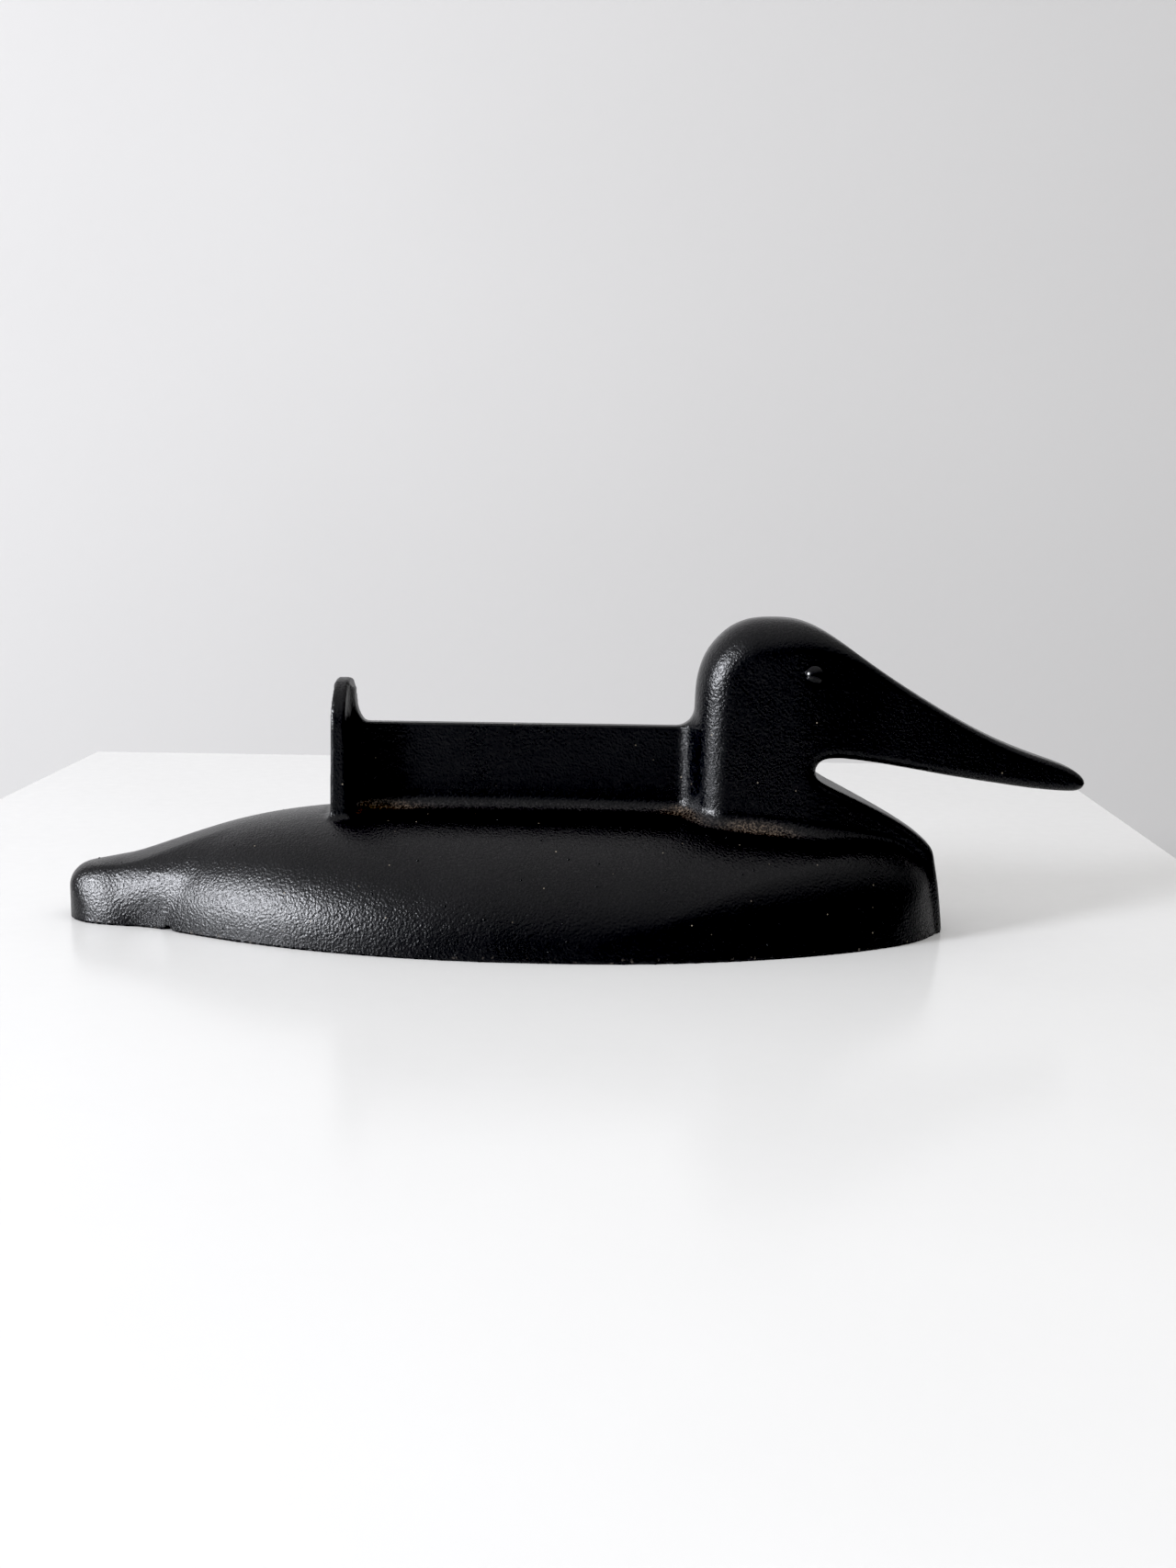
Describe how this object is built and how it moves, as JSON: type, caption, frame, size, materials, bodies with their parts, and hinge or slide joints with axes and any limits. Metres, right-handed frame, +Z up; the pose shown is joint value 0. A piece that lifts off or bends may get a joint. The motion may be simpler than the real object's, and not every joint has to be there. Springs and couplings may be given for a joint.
{
  "type": "boot scraper",
  "caption": "Cast-iron boot scraper shaped like a long-billed duck, with a straight scraping blade between its neck and an upright round-topped end plate.",
  "frame": {"origin": "centre of the object's footprint box, on the ground", "axes": "+X from the tail to the bill, +Z up, Y across; the object is symmetric about Y = 0"},
  "size_m": [0.3674, 0.119, 0.1126],
  "materials": {
    "black_enamel_casting": "black gloss enamel over sand-cast iron, worn through in specks"
  },
  "bodies": {
    "root": {"body_shell": "black_enamel_casting", "tail": "black_enamel_casting", "end_plate": "black_enamel_casting", "scraper_blade": "black_enamel_casting", "neck": "black_enamel_casting", "breast_ridge": "black_enamel_casting", "head": "black_enamel_casting", "bill": "black_enamel_casting", "left_eye": "black_enamel_casting", "right_eye": "black_enamel_casting"}
  },
  "joints": []
}
